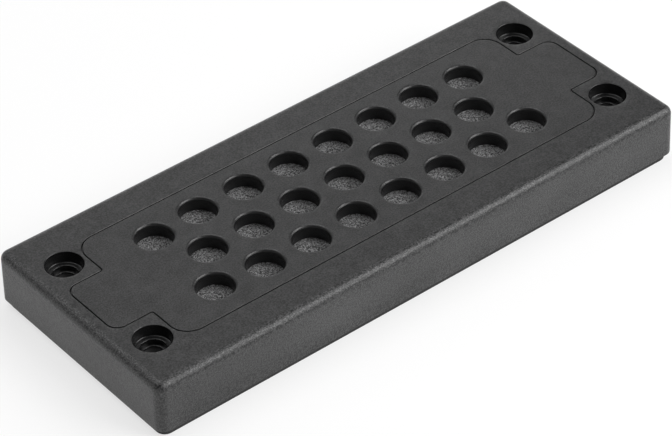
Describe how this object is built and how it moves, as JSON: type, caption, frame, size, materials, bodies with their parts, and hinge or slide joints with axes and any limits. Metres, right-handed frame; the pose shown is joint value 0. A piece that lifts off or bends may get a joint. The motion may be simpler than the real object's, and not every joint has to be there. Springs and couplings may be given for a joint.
{
  "type": "cable entry plate",
  "caption": "Rectangular cable entry plate: a rigid skirted frame with stepped screw holes holds a soft insert with round closed membranes, and a soft seal runs under its edge.",
  "frame": {"origin": "middle of the plane that the seal stands on", "axes": "+X along the plate's length, +Y across it, +Z out of the top face that the cables enter"},
  "size_m": [0.1476, 0.0594, 0.0148],
  "materials": {
    "frame": "black glass-filled polyamide, satin on top and spark-eroded grain on the sides",
    "membrane_insert": "black thermoplastic elastomer, satin on top and grained on the membranes",
    "flange_seal": "black thermoplastic elastomer, fine matte"
  },
  "bodies": {
    "root": {"frame": "frame", "membrane_insert": "membrane_insert", "flange_seal": "flange_seal"}
  },
  "joints": []
}
